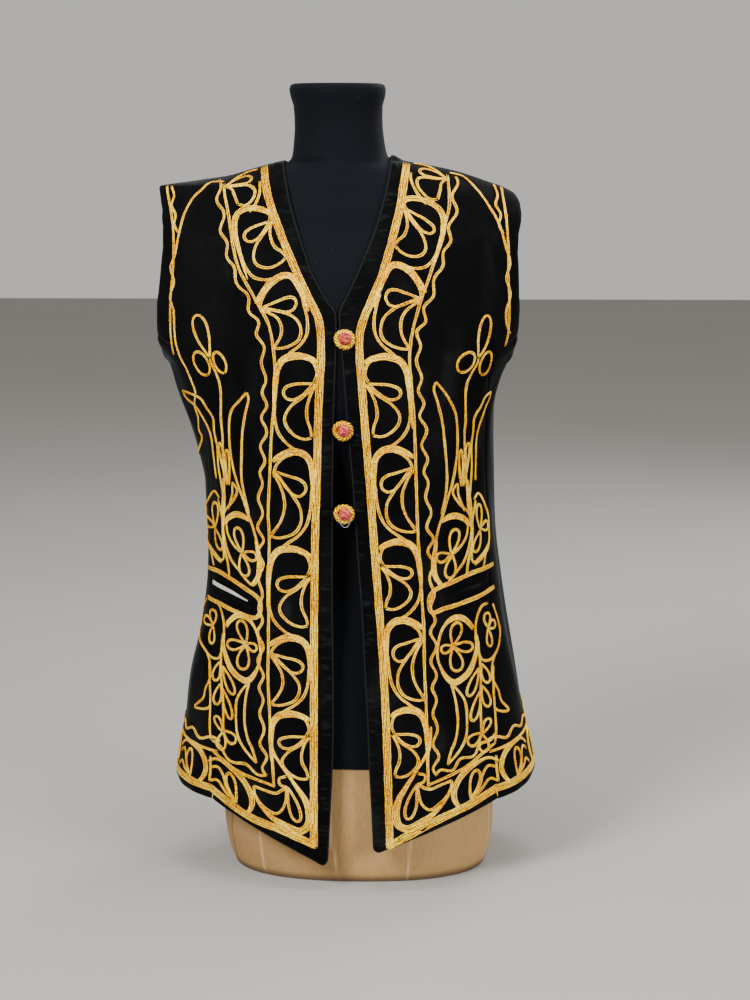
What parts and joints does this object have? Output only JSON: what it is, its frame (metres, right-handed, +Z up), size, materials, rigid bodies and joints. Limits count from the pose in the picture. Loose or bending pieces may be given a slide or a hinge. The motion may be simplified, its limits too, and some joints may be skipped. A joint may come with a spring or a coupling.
{
  "type": "embroidered folk vest on a dress form",
  "caption": "Long sleeveless V-neck velvet vest with couched gold cord scrolls and button loops, resting on a limbless dress form.",
  "frame": {"origin": "middle of the flat base of the dress form, where it rests", "axes": "+Z up through the neck of the form, the vest's front faces -Y, +X is the viewer's right from the front"},
  "size_m": [0.4099, 0.2653, 0.847],
  "materials": {
    "black_velvet": "black cotton velvet, matt with a faint cool sheen",
    "gold_cord": "twisted gold thread cord, satin",
    "black_jersey": "navy-black knitted jersey, matt",
    "tan_canvas": "tan varnished canvas and paper shell, half matt",
    "rose_thread": "rose thread wound over a ball, satin",
    "pale_lining": "pale cotton lining, matt"
  },
  "bodies": {
    "root": {"back": "black_velvet", "braid_armhole_left": "gold_cord", "braid_armhole_right": "gold_cord", "braid_border_left": "gold_cord", "braid_border_right": "gold_cord", "braid_hem_back": "gold_cord", "braid_hem_side_left": "gold_cord", "braid_hem_side_right": "gold_cord", "braid_neck_back": "gold_cord", "braid_spray_left": "gold_cord", "braid_spray_right": "gold_cord", "button_bottom": "rose_thread", "button_middle": "rose_thread", "button_top": "rose_thread", "form_body": "tan_canvas", "form_cover": "black_jersey", "front_left": "black_velvet", "front_right": "black_velvet", "loop_bottom": "gold_cord", "loop_middle": "gold_cord", "loop_top": "gold_cord", "pocket_lining_left": "pale_lining", "pocket_welt_left": "black_velvet", "pocket_welt_right": "black_velvet", "side_left": "black_velvet", "side_right": "black_velvet"}
  },
  "joints": []
}
